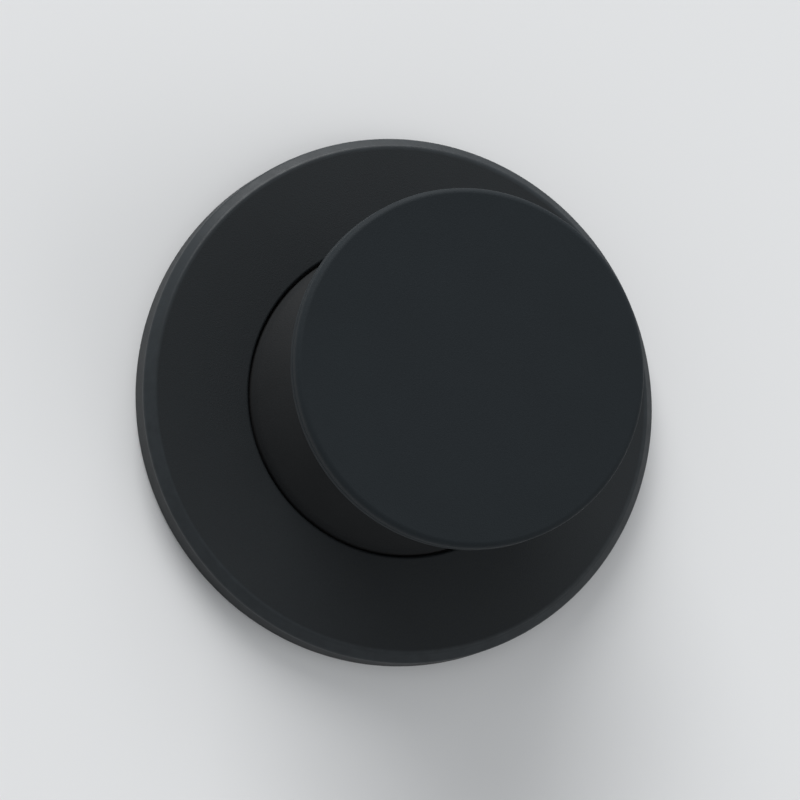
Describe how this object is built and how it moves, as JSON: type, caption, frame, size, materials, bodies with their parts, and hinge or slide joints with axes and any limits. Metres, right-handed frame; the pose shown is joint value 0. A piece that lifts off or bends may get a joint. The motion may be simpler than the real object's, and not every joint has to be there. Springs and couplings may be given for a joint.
{
  "type": "magnetic phone grip",
  "caption": "Round magnetic phone grip: a flat disc base that sticks to the back of a phone, a folding rubber neck and a flat round knob to hold between two fingers.",
  "frame": {"origin": "centre of the soft face that meets the phone, at the bottom of the part", "axes": "+Z along the grip's axis, away from the phone and towards the knob; the part is round about Z, so X and Y are free"},
  "size_m": [0.06, 0.06, 0.033],
  "materials": {
    "knob_plastic": "matte",
    "base_plastic": "satin",
    "inner_plastic": "satin",
    "neck_rubber": "matte",
    "pad_silicone": "matte",
    "magnet_nickel": "polished",
    "shield_steel": "satin"
  },
  "bodies": {
    "base": {"grip_pad": "pad_silicone", "base_cover": "inner_plastic", "base_housing": "base_plastic", "magnet_segments": "magnet_nickel", "shield_ring": "shield_steel"},
    "neck": {"foot_ring": "inner_plastic", "folding_neck": "neck_rubber"},
    "knob": {"neck_plug": "inner_plastic", "knob_shell": "knob_plastic", "knob_cap": "knob_plastic"}
  },
  "joints": [
    {"name": "neck_swivel", "type": "hinge", "parent": "base", "child": "neck", "pos_m": [0, 0, 0.0018], "axis": [0, 0, 1], "continuous": true},
    {"name": "knob_slide", "type": "slide", "parent": "neck", "child": "knob", "axis": [0, 0, 1], "range_m": [-0.0238, 0], "deforming": ["folding_neck"]}
  ]
}
